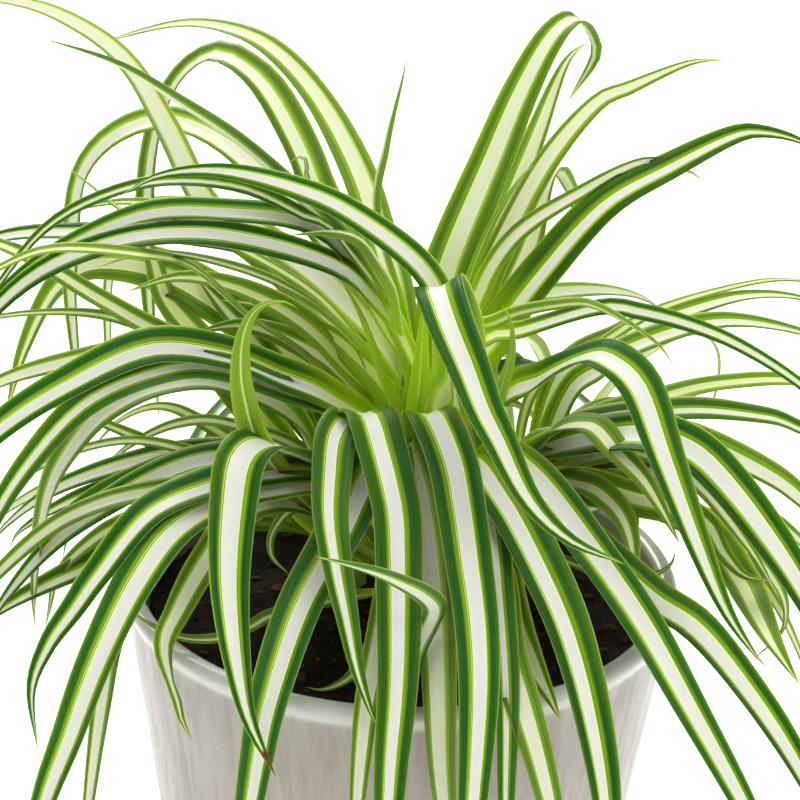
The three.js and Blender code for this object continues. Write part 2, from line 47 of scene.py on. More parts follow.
class Wire:  # a value in a material's nodes, so that sums of them read as sums
    def __init__(self, tree, socket=None):
        self.tree = tree
        self.socket = socket

    def node(self, kind, settings=None, inputs=None, output=0):  # any node: its settings, then its sockets
        made = self.tree.nodes.new(kind)
        for name, value in (settings or {}).items():
            setattr(made, name, value)
        for name, value in (inputs or {}).items():
            if isinstance(value, Wire):
                self.tree.links.new(value.socket, made.inputs[name])
            else:
                made.inputs[name].default_value = value
        return Wire(self.tree, made.outputs[output])

    def maths(self, operation, *values):
        return self.node("ShaderNodeMath", {"operation": operation}, dict(enumerate(values)))

    def __add__(self, other):
        return self.maths("ADD", self, other)

    def __radd__(self, other):
        return self.maths("ADD", other, self)

    def __sub__(self, other):
        return self.maths("SUBTRACT", self, other)

    def __rsub__(self, other):
        return self.maths("SUBTRACT", other, self)

    def __mul__(self, other):
        return self.maths("MULTIPLY", self, other)

    def __rmul__(self, other):
        return self.maths("MULTIPLY", other, self)

    def __truediv__(self, other):
        return self.maths("DIVIDE", self, other)

    def __pow__(self, other):
        return self.maths("POWER", self, other)

    def __abs__(self):
        return self.maths("ABSOLUTE", self)

    def ramp(self, low, high):  # 0 below low, 1 above high, smooth between; high may be the lower one
        return self.node("ShaderNodeMapRange", {"interpolation_type": "SMOOTHSTEP"},
                         {"Value": self, "From Min": low, "From Max": high})

    def blend(self, first, second):  # from colour first to colour second by this value
        return self.node("ShaderNodeMix", {"data_type": "RGBA"}, {"Factor": self, 6: first, 7: second}, 2)

    def speckle(self, scale, detail, roughness=0.5):  # soft noise read at this place
        return self.node("ShaderNodeTexNoise",
                         inputs={"Vector": self, "Scale": scale, "Detail": detail, "Roughness": roughness})


def material(name, **fixed):
    made = bpy.data.materials.new(name)
    made.use_nodes = True
    shader = made.node_tree.nodes["Principled BSDF"]
    for socket, value in fixed.items():
        shader.inputs[socket.replace("_", " ")].default_value = value
    return made, shader, Wire(made.node_tree)


def feed(shader, name, wire):
    wire.tree.links.new(wire.socket, shader.inputs[name])


def relief(shader, height, strength, depth):
    bump = height.node("ShaderNodeBump", inputs={"Strength": strength, "Distance": depth, "Height": height})
    feed(shader, "Normal", bump)


def colour(tint):  # from a display's colour, 0 to 255 a channel, to the linear one that a shader takes
    linear = []
    for channel in tint:
        part = channel / 255
        linear.append(part / 12.92 if part < 0.04045 else ((part + 0.055) / 1.055) ** 2.4)
    return (*linear, 1)


def share(index, step):
    return (0.5 + index * step) % 1


def between(low, high, t):
    return low + (high - low) * t


def alongSteps(values, t):
    place = t * (len(values) - 1)
    i = min(int(place), len(values) - 2)
    return between(values[i], values[i + 1], place - i)


def arc(centreX, centreZ, radius, start, end, count):
    turns = [math.radians(start + (end - start) * i / count) for i in range(count + 1)]
    return [(centreX + radius * math.cos(a), centreZ + radius * math.sin(a)) for a in turns]


def turned(bm, profile, sides, centre=(0, 0)):  # spins a profile of radius and height pairs about its centre
    x, y = centre
    line = [bm.verts.new((x + r, y, z)) for r, z in profile]
    edges = [bm.edges.new(pair) for pair in zip(line, line[1:])]
    bmesh.ops.spin(bm, geom=line + edges, cent=(x, y, 0), axis=(0, 0, 1), angle=math.tau,
                   steps=sides, use_merge=True)
    bmesh.ops.remove_doubles(bm, verts=bm.verts, dist=weld)


def asObject(bm, name, made):
    mesh = bpy.data.meshes.new(name)
    bm.to_mesh(mesh)
    bm.free()
    mesh.materials.append(made)
    placed = bpy.data.objects.new(name, mesh)
    bpy.context.scene.collection.objects.link(placed)
    return placed


def finished(bm, name, made, replaced=(), smooth=True):  # modelled in mm, it leaves here in metres
    bmesh.ops.scale(bm, vec=(mm, mm, mm), verts=bm.verts)
    bmesh.ops.recalc_face_normals(bm, faces=bm.faces)
    for face in bm.faces:
        face.smooth = smooth
    piece = asObject(bm, name, made)
    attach(piece, "root")
    if replaced:
        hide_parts(*replaced)
    print(name, len(piece.data.polygons), "faces")


pot = {
    "height": 150, "rimRadius": 85, "baseRadius": 64.6, "wall": 6, "floor": 8,
    "lipRound": 2.4, "footRound": 2.5,
    "bandHeight": 4.5,  # the smooth band under the lip
    "bandStep": 0.35,  # how far the band stands out from the brushed wall
    "bandSlope": 1.2,  # the height in which the wall steps out to the band
    "sides": 192, "wallRings": 24, "lipSteps": 8, "footSteps": 6,
    "innerRings": (0.03, 0.06, 0.1, 0.3, 0.6, 1),  # shares of the way from the lip down to the floor
}


def potRadius(z):
    return pot["baseRadius"] + (pot["rimRadius"] - pot["baseRadius"]) * z / pot["height"]


def insideRadius(z):
    return potRadius(z) - pot["wall"]


def makePot():
    lip, foot = pot["lipRound"], pot["footRound"]
    lipZ = pot["height"] - lip
    lipInside = pot["rimRadius"] - pot["wall"]
    bandZ = pot["height"] - pot["bandHeight"]
    wallTop = bandZ - pot["bandSlope"]
    profile = [(0, 0)] + arc(pot["baseRadius"] - foot, foot, foot, -90, -8, pot["footSteps"])
    for i in range(1, pot["wallRings"] + 1):
        z = between(foot, wallTop, i / pot["wallRings"])
        profile.append((potRadius(z) - pot["bandStep"], z))
    profile.append((potRadius(bandZ), bandZ))
    profile += arc(pot["rimRadius"] - lip, lipZ, lip, 0, 90, pot["lipSteps"])
    profile += arc(lipInside + lip, lipZ, lip, 90, 180, pot["lipSteps"])
    for down in pot["innerRings"]:
        r = between(lipInside, insideRadius(pot["floor"]), down)
        profile.append((r, between(lipZ, pot["floor"], down)))
    profile.append((0, pot["floor"]))
    bm = bmesh.new()
    turned(bm, profile, pot["sides"])
    finished(bm, "glazed_pot", glazeMaterial(), ["pot"])


glaze = {
    # band colours the smooth band under the lip, the lip and the inside of the rim: lighter and greener than
    # the clay, a painted highlight and a painted reflection of the leaves
    "clay": (160, 152, 142), "clayLight": (169, 161, 151), "band": (196, 199, 189),
    "brushed": (138, 128, 116), "brushing": 0.7,  # the brush marks' colour, and how strongly they show
    "streaks": 21, "threads": 90, "clouds": 22,  # a higher number is a finer pattern
    "climb": 1.6,  # a lower number draws the brush marks out further up the wall
    "roughness": 0.27, "brushedRoughness": 0.2,  # of the plain glaze, and what the brush marks add
    "strength": 0.5, "depth": 0.0005,
}


def glazeMaterial():
    made, shader, w = material("warm_white_glaze", Coat_Weight=0.3, Coat_Roughness=0.15)
    place = w.node("ShaderNodeTexCoord", output=3)
    x, y, z = (w.node("ShaderNodeSeparateXYZ", inputs={0: place}, output=i) for i in range(3))
    radius = (x * x + y * y) ** 0.5
    around = w.node("ShaderNodeCombineXYZ", inputs={0: x / radius, 1: y / radius, 2: z * glaze["climb"]})
    streaks = around.speckle(glaze["streaks"], 4, 0.6)
    threads = around.speckle(glaze["threads"], 2)
    clouds = place.speckle(glaze["clouds"], 3)
    bandZ = (pot["height"] - pot["bandHeight"]) * mm
    wall = z.ramp(bandZ, bandZ - 0.003) * radius.ramp(0.055, 0.06)  # below the band, clear of the base
    brushed = (streaks.ramp(0.36, 0.66) * 0.75 + threads.ramp(0.4, 0.65) * 0.25) * wall
    clay = clouds.ramp(0.35, 0.65).blend(colour(glaze["clay"]), colour(glaze["clayLight"]))
    # Above the band's foot the glaze takes its painted highlight and painted reflection of the leaves.
    clay = wall.blend(colour(glaze["band"]), clay)
    feed(shader, "Base Color", (brushed * glaze["brushing"]).blend(clay, colour(glaze["brushed"])))
    feed(shader, "Roughness", glaze["roughness"] + brushed * glaze["brushedRoughness"])
    relief(shader, (streaks * 0.7 + threads * 0.3) * wall, glaze["strength"], glaze["depth"])
    return made


soil = {
    "level": 136, "gap": 0.6, "depth": 30, "rings": 56, "sides": 150,
    "sideShare": 0.12,  # share of the rings that go down the side
    "lump": 2.2, "lumpSize": 14, "crumb": 1.3, "crumbSize": 4.5, "grit": 0.45, "gritSize": 1.7,
    "dark": (14, 11, 8), "light": (66, 45, 31),
}


def soilHeight(x, y):  # lumps, crumbs and grit each read the noise in a layer of their own
    lumps = noise.noise(Vector((x, y, 0)) / soil["lumpSize"]) * soil["lump"]
    crumbs = abs(noise.noise(Vector((x, y, 31)) / soil["crumbSize"])) * soil["crumb"]
    grit = noise.noise(Vector((x, y, 77)) / soil["gritSize"]) * soil["grit"]
    return soil["level"] + lumps + crumbs + grit


def makeSoil():
    bottom = soil["level"] - soil["depth"]
    topRadius = insideRadius(soil["level"]) - soil["gap"]
    bottomRadius = insideRadius(bottom) - soil["gap"]
    side = soil["sideShare"]
    bm = bmesh.new()
    bmesh.ops.create_grid(bm, x_segments=soil["rings"], y_segments=soil["sides"], size=0.5, matrix=Matrix())
    for vert in bm.verts:
        along, turn = vert.co.x + 0.5, (vert.co.y + 0.5) * math.tau
        down = max(0, (along - 1 + side) / side)
        r = between(topRadius, bottomRadius, down) * min(1, along / (1 - side))
        x, y = r * math.cos(turn), r * math.sin(turn)
        vert.co = (x, y, between(soilHeight(x, y), bottom, down))
    bmesh.ops.remove_doubles(bm, verts=bm.verts, dist=weld)
    bmesh.ops.holes_fill(bm, edges=[edge for edge in bm.edges if edge.is_boundary])
    finished(bm, "soil_bed", soilMaterial("dark_soil", soil), ["soil"])


bark = {
    "bits": 420, "size": (1.2, 4.2),
    "shape": (1.5, 1, 0.45),  # length, breadth and thickness of a bit, for a size of 1
    "raised": 0.1,  # how far its middle stands above the soil
    "chipped": 0.22, "chipFineness": 0.9,
    "clearOfWall": 3,
    "dark": (48, 28, 17), "light": (146, 90, 54),
}


def makeBark():
    bm = bmesh.new()
    reach = insideRadius(soil["level"]) - bark["clearOfWall"]
    for i in range(bark["bits"]):
        r = reach * math.sqrt(share(i, steps["length"]))
        heading = math.tau * share(i, steps["heading"])
        x, y = r * math.cos(heading), r * math.sin(heading)
        size = between(*bark["size"], share(i, steps["lift"]) ** 3)
        turn = Matrix.Rotation(share(i, steps["turn"]) * math.tau, 4, "Z")
        tilt = Matrix.Rotation(share(i, steps["tilt"]) - 0.5, 4, "X")
        shape = Matrix.Diagonal((*(size * part for part in bark["shape"]), 1))
        place = Matrix.Translation((x, y, soilHeight(x, y) + size * bark["raised"]))
        made = bmesh.ops.create_icosphere(bm, subdivisions=1, radius=0.5, matrix=place @ turn @ tilt @ shape)
        for vert in made["verts"]:
            vert.co += noise.noise_vector(vert.co * bark["chipFineness"]) * size * bark["chipped"]
    finished(bm, "bark_bits", soilMaterial("bark", bark), smooth=False)


def soilMaterial(name, tints):
    made, shader, w = material(name, Roughness=0.95, Specular_IOR_Level=0.2)
    place = w.node("ShaderNodeTexCoord", output=3)
    grain = place.speckle(900, 6, 0.7)
    patch = place.speckle(60, 3)
    mottle = grain.ramp(0.4, 0.8) * 0.5 + patch.ramp(0.45, 0.75) * 0.5
    feed(shader, "Base Color", mottle.blend(colour(tints["dark"]), colour(tints["light"])))
    relief(shader, grain, 0.9, 0.0005)
    return made


# Each crown is a neck of clasped leaf bases, from which its leaves fan out.
neck = {
    "radius": 7.5, "bottom": 112, "soilTop": 144, "swellRadius": 12.5, "swellTop": 170, "top": 184,
    "sides": 48,
    "swell": ((0.68, 151), (0.85, 158), (0.96, 165)),  # shares of the swell's radius, and at what height
    "crest": ((0.93, 9), (0.7, 5), (0.35, 2), (0, 0)),  # the same again, and how far below the top
    "leafRing": 4, "leafStart": 150,  # how far from the neck's middle a leaf starts, and how high
    "clasps": 7,  # how many leaf bases clasp each other
    "claspDepth": 0.1,  # depth of the grooves between them, as a share of the radius
    "claspTwist": 0.09,  # radians by which they turn in each mm of height
}
crowns = {"back": (6, 40), "left": (-18, 16), "right": (32, 14), "front": (6, -11)}

blade = {
    "thickness": 0.7, "rows": 56, "columns": 8,
    "baseShare": 0.27,  # width at the root, as a share of the full width
    "widening": 0.3,  # share of the length over which the blade widens
    "taper": 3.2,  # how late the blade narrows towards its tip
    "fold": 14, "rootFold": 40, "tipFold": 10,  # degrees that each half rises, and more at the root and tip
    "lean": 18,  # degrees that a leaf heading sideways turns its face to the front
    "headingAt": 0.6,  # share of the length whose place says where the leaf heads
    "roundMiddle": 0.16,  # how softly the V turns at the midrib
    "ripple": 0.5, "rippleLength": 55,
    "thinning": 12,  # how soon the blade is at its full thickness, counted from its ends
    "stripeRange": (0.8, 1.2),  # how much the stripe's width differs from leaf to leaf
    "pathSteps": 40,  # steps between two points of a path, before it is cut into even rows
    "atlasRows": 4, "atlasInset": (0.04, 0.03),
}
leafAmounts = ("stripe", "lime", "pale", "dry", "tone")  # kept at every point of a leaf, for its material

# The leaves that face the front, as they are seen from the camera: a point is [across, down, y], its place on
# a picture 800 wide and high and its depth in mm. A row is width, path and, where it isn't the usual, its
# degrees of turn along the leaf and its look.
viewpoint = {"eye": Vector((-1.9, -635.8, 487.9)), "pitch": math.radians(23.87), "roll": math.radians(2.02),
             "focal": 2339, "middle": 400, "sensor": 36}

drawnLeaves = {
    "back": [
        (12.5, [
            [400, 380, 36], [330, 290, 38], [255, 235, 40], [205, 207, 42], [165, 130, 46],
            [130, 70, 50], [90, 34, 54], [30, 6, 58], [-40, 0, 60], [-100, 16, 62],
        ], (15, 15), "broad"),
        (14, [
            [400, 330, 50], [375, 230, 72], [355, 170, 88], [320, 105, 106], [280, 58, 120],
            [240, 34, 130], [185, 25, 138], [120, 38, 144], [88, 52, 146],
        ], (0, 0), "soft"),
        (15, [
            [385, 340, 48], [320, 200, 68], [300, 150, 76], [268, 92, 88], [238, 64, 96],
            [212, 56, 101], [180, 80, 106], [158, 130, 110], [148, 200, 113], [150, 300, 115],
            [160, 425, 114],
        ], (0, 0, 0, 75, 80), "cream"),
        (14, [
            [390, 350, 45], [320, 235, 52], [262, 178, 58], [215, 140, 64], [165, 122, 70],
            [118, 136, 75], [86, 170, 80], [75, 220, 83], [72, 290, 85], [78, 370, 85], [84, 440, 83],
        ], (0, 0, 0, 60, 75), "cream"),
        (14, [
            [360, 350, 40], [280, 265, 45], [200, 240, 50], [80, 235, 60], [0, 240, 68],
            [-80, 270, 74], [-130, 310, 76],
        ], (0, 0), "usual"),
        (10, [
            [340, 320, 50], [240, 230, 62], [150, 205, 74], [90, 207, 82], [50, 225, 86],
        ], (0, 0), "lime"),
        (9, [
            [400, 350, 40], [350, 240, 44], [309, 185, 46], [306, 163, 47], [300, 157, 48],
            [281, 168, 50],
        ], (0, 0), "lime"),
        (8, [[405, 340, 30], [375, 215, 25], [385, 145, 22], [403, 75, 20], [406, 52, 19]], (0, 0), "lime"),
        (16, [
            [370, 370, 60], [250, 240, 100], [150, 215, 130], [116, 260, 140], [110, 340, 142],
            [115, 430, 140],
        ], (0, 70), "cream"),
        (12, [[400, 390, 36], [360, 310, 52], [330, 265, 62], [300, 240, 70]], (0, 0), "olive"),
        (17, [
            [440, 340, 42], [445, 280, 48], [460, 235, 52], [490, 165, 62], [520, 95, 70],
            [550, 40, 76], [575, 20, 84], [592, 40, 92], [593, 60, 94], [567, 103, 98],
        ], (-25, -25, -25, -15, 40), "cream"),
        (14, [
            [460, 350, 50], [480, 290, 62], [500, 230, 74], [535, 140, 92], [565, 65, 108],
            [590, 40, 118],
        ], (0, 0), "soft"),
        (12, [
            [490, 340, 60], [530, 250, 84], [548, 190, 96], [558, 172, 101], [570, 188, 107],
            [576, 210, 111], [562, 255, 114],
        ], (-20, -20, -10, 40, 60), "soft"),
    ],
    "left": [
        (13, [
            [412, 400, 14], [380, 320, 13], [345, 250, 10], [300, 200, 4], [240, 145, -4],
            [180, 104, -12], [120, 66, -20], [60, 44, -26], [38, 39, -28],
        ], (-25, -45)),
        (5, [
            [375, 405, 22], [330, 310, 24], [230, 245, 27], [160, 222, 30], [125, 213, 30],
            [90, 185, 30], [56, 159, 30],
        ], (0, 0), "lime"),
        (7, [
            [400, 360, 10], [340, 240, 6], [300, 215, 3], [240, 188, -1], [165, 182, -6],
            [100, 198, -11], [45, 230, -15], [0, 284, -18], [-30, 330, -20], [-50, 390, -21],
        ], (10, 25), "narrow"),
        (12, [
            [405, 400, 15], [390, 330, 12], [340, 250, 8], [300, 223, 5], [230, 214, 1],
            [150, 215, -5], [75, 244, -10], [20, 280, -14], [-40, 340, -18], [-80, 410, -20],
        ], (5, 20)),
        (12.5, [
            [412, 410, 10], [400, 340, 6], [370, 300, 3], [340, 272, 0], [280, 250, -4],
            [200, 236, -9], [120, 243, -14], [40, 275, -19], [-20, 330, -23], [-70, 410, -26],
            [-90, 470, -27],
        ], (5, 20)),
        (8, [
            [330, 390, 20], [245, 315, 14], [190, 268, 0], [140, 256, -20], [60, 250, -29],
            [10, 264, -33], [-50, 302, -37], [-90, 352, -39],
        ], (0, 0), "lime"),
        (12, [
            [412, 390, 14], [402, 330, 8], [395, 290, 4], [378, 262, 1], [360, 240, -2],
            [330, 232, -5], [290, 235, -9],
        ], (0, 0), "olive"),
        (12, [
            [350, 420, 30], [270, 370, 34], [175, 342, 40], [100, 302, 48], [20, 255, 58],
            [-60, 230, 66], [-120, 235, 72],
        ], (0, 0), "olive"),
        (13, [
            [400, 410, 16], [345, 335, 10], [285, 290, 5], [215, 264, 0], [150, 254, -4],
            [95, 268, -8],
        ], (0, 0), "olive"),
        (13, [
            [390, 430, 24], [335, 355, 24], [290, 315, 24], [235, 288, 24], [180, 278, 24],
            [125, 292, 24],
        ], (0, 0), "lime"),
        (6, [
            [300, 400, 34], [230, 360, 38], [165, 337, 44], [100, 316, 50], [20, 315, 58],
            [-50, 330, 62], [-100, 360, 64],
        ], (0, 0), "olive"),
        (15, [
            [320, 500, 28], [290, 460, 34], [240, 400, 46], [200, 345, 58], [165, 300, 70],
            [150, 255, 82], [130, 215, 95],
        ], (0, 0), "lime"),
        (15, [
            [345, 490, 28], [330, 450, 34], [290, 400, 42], [255, 345, 52], [225, 310, 62],
            [195, 275, 75],
        ], (0, 0), "olive"),
        (16, [
            [388, 450, 10], [330, 400, 0], [280, 378, -6], [225, 357, -12], [150, 350, -20],
            [70, 385, -30], [0, 430, -38], [-60, 490, -44], [-100, 560, -47], [-120, 620, -48],
        ], (5, 10)),
        (13, [
            [380, 465, 8], [330, 412, -2], [280, 392, -10], [225, 372, -16], [170, 371, -22],
            [90, 403, -34], [30, 465, -42], [-10, 530, -46], [-40, 610, -49], [-55, 680, -50],
        ], (5, 10), "narrow"),
        (12, [
            [300, 420, 30], [200, 365, 30], [140, 352, 30], [80, 362, 30], [0, 385, 32],
            [-70, 430, 34], [-120, 490, 35],
        ], (0, 0), "cream"),
        (18, [
            [330, 400, 50], [200, 290, 72], [110, 262, 92], [60, 285, 103], [25, 350, 106],
            [5, 420, 107],
        ], (0, 70), "olive"),
        (18, [
            [300, 430, 6], [225, 386, 0], [160, 387, -6], [108, 412, -12], [76, 446, -16],
            [53, 487, -18], [41, 540, -19], [35, 600, -20], [36, 632, -20],
        ], (0, 0), "cream"),
        (7, [
            [310, 460, 20], [230, 426, 22], [180, 425, 24], [130, 447, 28], [95, 480, 30],
            [88, 497, 31],
        ], (0, 0), "olive"),
        (6, [
            [290, 490, 15], [200, 456, 12], [130, 442, 10], [60, 458, 6], [10, 490, 2], [-20, 520, 0],
        ], (0, 0), "olive"),
        (7, [
            [280, 500, 22], [195, 467, 24], [140, 440, 26], [70, 412, 30], [20, 395, 34],
        ], (0, 0), "olive"),
        (7, [
            [300, 490, 30], [215, 432, 34], [165, 408, 38], [122, 420, 42], [90, 450, 44],
        ], (0, 0), "lime"),
        (10, [
            [300, 500, 2], [230, 488, -8], [158, 493, -18], [100, 506, -25], [50, 531, -31],
            [0, 574, -36], [-40, 620, -40], [-60, 680, -42],
        ], (0, 0), "cream"),
        (15, [
            [290, 530, 5], [190, 520, -5], [110, 558, -12], [40, 590, -18], [0, 612, -22],
            [-40, 640, -26],
        ], (0, 0), "narrow"),
        (11, [
            [280, 520, 5], [190, 505, 0], [125, 525, -6], [90, 545, -10], [60, 575, -13],
            [50, 610, -15], [45, 630, -16],
        ], (0, 0), "olive"),
        (12, [
            [395, 420, 16], [350, 350, 24], [300, 320, 30], [260, 305, 36], [220, 300, 42],
        ], (0, 0), "lime"),
        (12, [
            [375, 430, 26], [340, 372, 30], [290, 340, 36], [240, 326, 42], [190, 334, 46],
        ], (0, 0), "olive"),
        (11, [[398, 430, 8], [386, 375, 7], [364, 318, 6], [340, 278, 8]], (0, 0), "young"),
    ],
    "right": [
        (17, [
            [500, 416, 0], [540, 383, -10], [588, 359, -24], [613, 364, -32], [640, 391, -42],
            [665, 460, -56], [695, 540, -68], [725, 610, -78], [755, 655, -83], [768, 668, -85],
        ], (-60, -45, -15, -10, -10)),
        (12, [
            [565, 405, 20], [600, 370, 20], [640, 345, 22], [720, 323, 26], [800, 333, 30],
            [850, 355, 32],
        ], (0, 0), "cream"),
        (12, [
            [480, 370, 35], [500, 305, 50], [550, 295, 60], [600, 292, 70], [640, 298, 78],
            [670, 315, 84],
        ], (0, 0), "broad"),
        (5, [
            [530, 400, 30], [595, 350, 40], [660, 310, 50], [750, 284, 62], [800, 281, 70],
            [840, 290, 74],
        ], (0, 0), "lime"),
        (10, [
            [560, 380, 45], [620, 335, 58], [670, 318, 66], [740, 298, 78], [800, 299, 88],
            [850, 320, 94],
        ], (0, 0), "cream"),
        (7.5, [
            [470, 370, 8], [490, 338, 6], [520, 332, 4], [600, 309, 0], [640, 313, -3], [690, 326, -8],
            [740, 347, -13], [800, 385, -18], [860, 440, -22], [890, 490, -24],
        ], (-15, -25)),
        (6, [
            [468, 360, 6], [500, 320, -2], [565, 304, -14], [600, 308, -18], [655, 342, -26],
            [678, 373, -30],
        ], (0, 0), "lime"),
        (6, [
            [490, 430, -2], [498, 400, -5], [510, 360, -8], [512, 335, -9], [508, 315, -10],
            [501, 304, -10],
        ], (0, 0), "young"),
        (4, [
            [600, 400, 60], [660, 345, 80], [700, 335, 92], [718, 355, 96], [713, 400, 97],
            [690, 435, 98],
        ], (0, 0), "pale"),
        (10, [
            [560, 440, 25], [670, 397, 40], [735, 384, 50], [800, 384, 60], [870, 410, 68],
            [910, 440, 72],
        ], (0, 0), "lime"),
        (12, [
            [560, 440, 10], [670, 413, 10], [760, 418, 10], [800, 431, 10], [870, 465, 10],
            [910, 505, 10],
        ], (0, 0), "narrow"),
        (14, [
            [560, 450, 0], [640, 435, -3], [690, 440, -5], [760, 472, -10], [800, 500, -13],
            [860, 560, -17], [890, 620, -18],
        ], (-5, -10), "cream"),
        (19, [
            [495, 490, 4], [520, 466, 2], [560, 449, -3], [610, 439, -9], [650, 438, -16],
            [690, 453, -22], [720, 480, -27], [760, 530, -34], [800, 590, -40], [840, 670, -44],
            [860, 740, -46],
        ], (-5, -15), "usual"),
        (13, [
            [525, 455, 5], [590, 446, 2], [640, 455, -4], [690, 480, -10], [745, 545, -18],
            [780, 600, -22],
        ], (0, 0), "olive"),
        (12, [[560, 492, 12], [640, 488, 12], [700, 520, 14], [740, 570, 16]], (0, 0), "olive"),
        (12, [[545, 475, 20], [620, 461, 28], [680, 470, 34], [730, 500, 40]], (0, 0), "olive"),
        (16, [
            [540, 450, 0], [585, 428, -8], [615, 455, -18], [640, 480, -24], [660, 510, -28],
            [680, 545, -31],
        ], (0, 0), "olive"),
        (15, [
            [530, 490, 8], [580, 487, -10], [608, 503, -18], [624, 525, -22], [632, 556, -25],
            [635, 592, -28],
        ], (0, 0), "olive"),
        (5, [
            [560, 560, -5], [600, 575, -12], [640, 577, -15], [660, 573, -14], [672, 563, -12],
            [676, 548, -10],
        ], (0, 0), "lime"),
        (13, [
            [560, 490, 0], [640, 500, -8], [702, 520, -14], [723, 552, -20], [744, 575, -24],
            [770, 581, -27],
        ], (0, -20, -50, -60, -40), "olive"),
        (18, [
            [600, 500, 10], [665, 512, 0], [708, 540, -9], [738, 583, -20], [752, 610, -35],
            [768, 640, -52], [785, 665, -66], [800, 685, -76],
        ], (0, 0), "olive"),
        (12, [
            [620, 500, 22], [720, 530, 18], [775, 585, 14], [782, 628, 12], [750, 662, 10],
        ], (0, 0), "cream"),
        (7, [
            [450, 350, 30], [468, 280, 32], [490, 225, 36], [520, 178, 40], [537, 163, 42],
        ], (0, 0), "young"),
        (10.5, [
            [455, 370, 30], [480, 300, 34], [500, 250, 38], [545, 165, 46], [595, 105, 54],
            [630, 88, 58], [690, 63, 64], [730, 60, 68],
        ], (0, 0), "soft"),
        (7.5, [
            [470, 350, 25], [480, 290, 27], [515, 235, 30], [575, 195, 36], [645, 161, 42],
            [692, 173, 48], [705, 185, 50],
        ], (0, 0), "cream"),
        (15, [
            [465, 400, 20], [500, 330, 24], [545, 270, 28], [605, 205, 34], [670, 168, 42],
            [730, 138, 50], [760, 133, 54], [800, 142, 58], [840, 165, 60],
        ], (-15, -15), "narrow"),
    ],
    "front": [
        (13, [
            [452, 420, -5], [446, 330, -9], [420, 270, -11], [350, 215, -13], [290, 188, -15],
            [220, 172, -17], [160, 176, -19], [120, 196, -21],
        ], (10, 30)),
        (11, [
            [310, 510, -26], [260, 450, -38], [243, 400, -44], [239, 360, -46], [245, 325, -47],
            [260, 305, -48], [284, 301, -50], [300, 310, -51],
        ], (50, 80, 90, 80), "young"),
        (15, [
            [370, 490, -14], [312, 474, -28], [265, 476, -38], [212, 487, -48], [150, 515, -60],
            [100, 575, -72], [75, 610, -77], [50, 645, -80], [33, 690, -82], [38, 752, -83],
        ]),
        (16, [
            [350, 500, -30], [260, 495, -45], [185, 525, -62], [140, 580, -76], [100, 660, -88],
            [70, 740, -94], [47, 800, -98], [26, 880, -100], [12, 980, -102],
        ]),
        (12, [
            [310, 505, -22], [200, 512, -42], [140, 570, -54], [115, 640, -58], [105, 700, -62],
            [95, 770, -65], [86, 840, -67], [80, 900, -68],
        ], (0, 0), "cream"),
        (13, [
            [315, 515, -26], [250, 510, -46], [208, 560, -55], [175, 615, -68], [165, 645, -72],
            [172, 680, -76], [178, 700, -78], [182, 720, -79], [193, 742, -80],
        ], (0, 0, 0, 0, 0, 0, 30, -30, 50), "cream"),
        (6, [
            [340, 600, -30], [275, 615, -42], [250, 628, -46], [215, 640, -51], [175, 637, -53],
            [140, 618, -48], [128, 605, -44],
        ], (0, 0), "olive"),
        (18.5, [
            [380, 490, -8], [320, 466, -22], [280, 450, -40], [258, 448, -52], [242, 464, -61],
            [236, 500, -68], [232, 550, -78], [232, 600, -88], [238, 660, -97], [250, 720, -104],
            [276, 777, -110],
        ], (0, 0), "dryTip"),
        (14, [
            [366, 468, -14], [352, 424, -24], [336, 438, -36], [331, 480, -50], [330, 520, -64],
            [337, 570, -76], [347, 620, -87], [357, 670, -95], [370, 710, -100], [380, 733, -102],
        ], (0, 0), "narrow"),
        (16, [
            [415, 470, -10], [400, 438, -20], [375, 460, -34], [340, 535, -56], [300, 610, -74],
            [270, 700, -94], [258, 760, -100], [248, 820, -104], [238, 890, -106], [228, 970, -107],
        ]),
        (16, [
            [385, 480, -10], [362, 422, -22], [370, 418, -30], [380, 450, -42], [390, 490, -52],
            [396, 530, -60], [397, 640, -86], [395, 700, -97], [390, 760, -104], [386, 830, -108],
            [381, 900, -110], [376, 980, -110],
        ]),
        (12.5, [
            [407, 480, -28], [404, 560, -48], [397, 640, -70], [390, 690, -81], [390, 716, -87],
            [399, 704, -91], [408, 675, -88], [420, 646, -82.5], [432, 624, -80], [436, 609, -84.5],
            [424, 596, -91], [400, 583, -98], [370, 571, -105], [314, 556, -115],
        ], (0, 0, 0, 0, 0, 0, 0, -15, -35, -35, -35)),
        (14, [
            [421, 460, -14], [413, 441, -20], [416, 468, -30], [424, 515, -44], [432, 580, -60],
            [436, 650, -80], [438, 700, -92], [440, 760, -98], [445, 820, -101], [449, 880, -103],
            [452, 940, -103],
        ], (0, 0, 20, 90, 165, 180, 180, 180, 180, 180, 180, 180), "cream"),
        (16, [
            [422, 470, -12], [428, 415, -26], [450, 460, -44], [460, 510, -58], [467, 560, -70],
            [475, 620, -84], [478, 680, -98], [476, 740, -106], [472, 800, -112], [466, 880, -116],
            [458, 970, -117],
        ]),
        (10, [
            [460, 490, -12], [478, 460, -24], [493, 530, -46], [500, 600, -66], [505, 660, -82],
            [507, 720, -95], [506, 790, -102], [505, 860, -105], [502, 930, -106],
        ], (0, 0), "narrow"),
        (10, [
            [405, 500, -22], [392, 580, -60], [380, 640, -78], [368, 700, -93], [362, 750, -100],
            [356, 820, -104], [350, 900, -106],
        ], (0, 0), "cream"),
        (18, [
            [485, 530, -32], [497, 585, -48], [513, 630, -62], [533, 670, -74], [549, 698, -82],
            [561, 722, -88],
        ], (0, 0), "cream"),
        (13, [
            [485, 560, -40], [505, 650, -76], [520, 700, -90], [535, 750, -97], [548, 800, -101],
            [562, 860, -104], [576, 930, -105],
        ], (0, 0), "cream"),
        (16, [
            [450, 490, -10], [472, 460, -24], [500, 495, -38], [524, 535, -50], [560, 610, -74],
            [580, 670, -88], [594, 730, -97], [604, 790, -103], [610, 860, -107], [614, 960, -109],
        ]),
        (14, [
